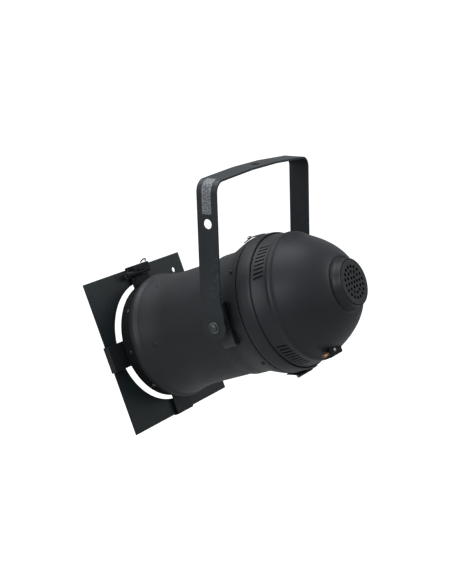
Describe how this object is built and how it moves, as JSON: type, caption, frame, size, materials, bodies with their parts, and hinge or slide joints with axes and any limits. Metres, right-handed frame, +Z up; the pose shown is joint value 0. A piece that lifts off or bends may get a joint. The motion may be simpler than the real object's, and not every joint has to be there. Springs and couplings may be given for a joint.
{
  "type": "stage spotlight can",
  "caption": "Stage par can light: spun tilting barrel with a sealed-beam lamp, hinged rear cap, gel frame in a sprung latch, hung in a U-shaped yoke.",
  "frame": {"origin": "centre of the hook-bolt hole, on the top face of the yoke's bar", "axes": "+Z up along the hook bolt; X runs along the yoke's bar, parallel to the tilt pivot; the light shines towards -Y and, as stored, 21.2 degrees down"},
  "size_m": [0.2604, 0.4276, 0.422],
  "materials": {
    "yoke_powder": "satin black powder coat on steel strap",
    "powder_black": "satin black powder coat on spun steel",
    "frame_powder": "satin black powder coat on thin sheet",
    "matt_black": "matt black",
    "zinc_steel": "bright zinc plate",
    "lamp_mirror": "aluminised glass bowl",
    "lamp_glass": "clear pressed glass",
    "ceramic": "unglazed ceramic",
    "copper": "copper, lightly tarnished",
    "glass_sleeving": "woven glass-fibre sleeving",
    "label_grey": "satin printed foil, left plain"
  },
  "bodies": {
    "yoke": {"yoke": "yoke_powder", "rating_label": "label_grey", "friction_disc_left": "matt_black", "friction_disc_right": "matt_black", "pivot_washer_left": "zinc_steel", "pivot_washer_right": "zinc_steel"},
    "can": {"front_barrel": "powder_black", "rear_barrel": "powder_black", "front_ring": "matt_black", "left_clip": "powder_black", "right_clip": "powder_black", "bottom_clip": "powder_black", "left_rivet": "zinc_steel", "right_rivet": "zinc_steel", "bottom_rivet": "zinc_steel", "top_rivet": "zinc_steel", "latch_bracket": "powder_black", "latch_pin": "zinc_steel", "latch_spring": "zinc_steel", "gel_frame": "frame_powder", "pivot_bracket_left": "powder_black", "pivot_bracket_right": "powder_black", "pivot_bolt_left": "zinc_steel", "pivot_bolt_right": "zinc_steel", "pivot_nut_left": "zinc_steel", "pivot_nut_right": "zinc_steel", "barrel_screw_1": "zinc_steel", "barrel_screw_2": "zinc_steel", "barrel_screw_3": "zinc_steel", "barrel_screw_4": "zinc_steel", "lamp_spring_ring": "zinc_steel", "hinge_leaf_barrel": "powder_black", "hinge_pin": "zinc_steel", "catch_hook": "zinc_steel", "lamp_lead": "glass_sleeving"},
    "latch": {"latch_gate": "matt_black", "latch_pull": "zinc_steel"},
    "cap": {"cap_dome": "powder_black", "cap_band": "powder_black", "vent_grille": "powder_black", "hinge_leaf_cap": "powder_black", "cap_catch": "zinc_steel", "lead_clamp": "matt_black", "clamp_screw": "zinc_steel", "cord_bush": "copper", "earth_screw": "copper"},
    "lamp": {"lamp_lens": "lamp_glass", "lamp_reflector": "lamp_mirror", "lamp_prong_left": "copper", "lamp_prong_right": "copper", "lamp_burner": "lamp_glass", "lamp_holder": "ceramic"}
  },
  "joints": [
    {"name": "can_tilt", "type": "hinge", "parent": "yoke", "child": "can", "pos_m": [0, 0, -0.2223], "axis": [1, 0, 0], "range_deg": [-44, 172]},
    {"name": "gate_hinge", "type": "hinge", "parent": "can", "child": "latch", "pos_m": [0, -0.231, -0.19252], "axis": [-1, 0, 0], "range_deg": [0, 100], "stiffness_Nm_per_rad": 0.12, "springref_deg": -34.38, "deforming": ["latch_spring"]},
    {"name": "cap_hinge", "type": "hinge", "parent": "can", "child": "cap", "pos_m": [0, 0.08015, -0.31445], "axis": [-1, 0, 0], "range_deg": [0, 110], "deforming": ["cap_catch", "lamp_lead"]},
    {"name": "lamp_turn", "type": "hinge", "parent": "can", "child": "lamp", "pos_m": [0, 0.00127, -0.22556], "axis": [0, -0.9323, -0.3616], "range_deg": [-90, 90], "deforming": ["lamp_lead"]}
  ]
}
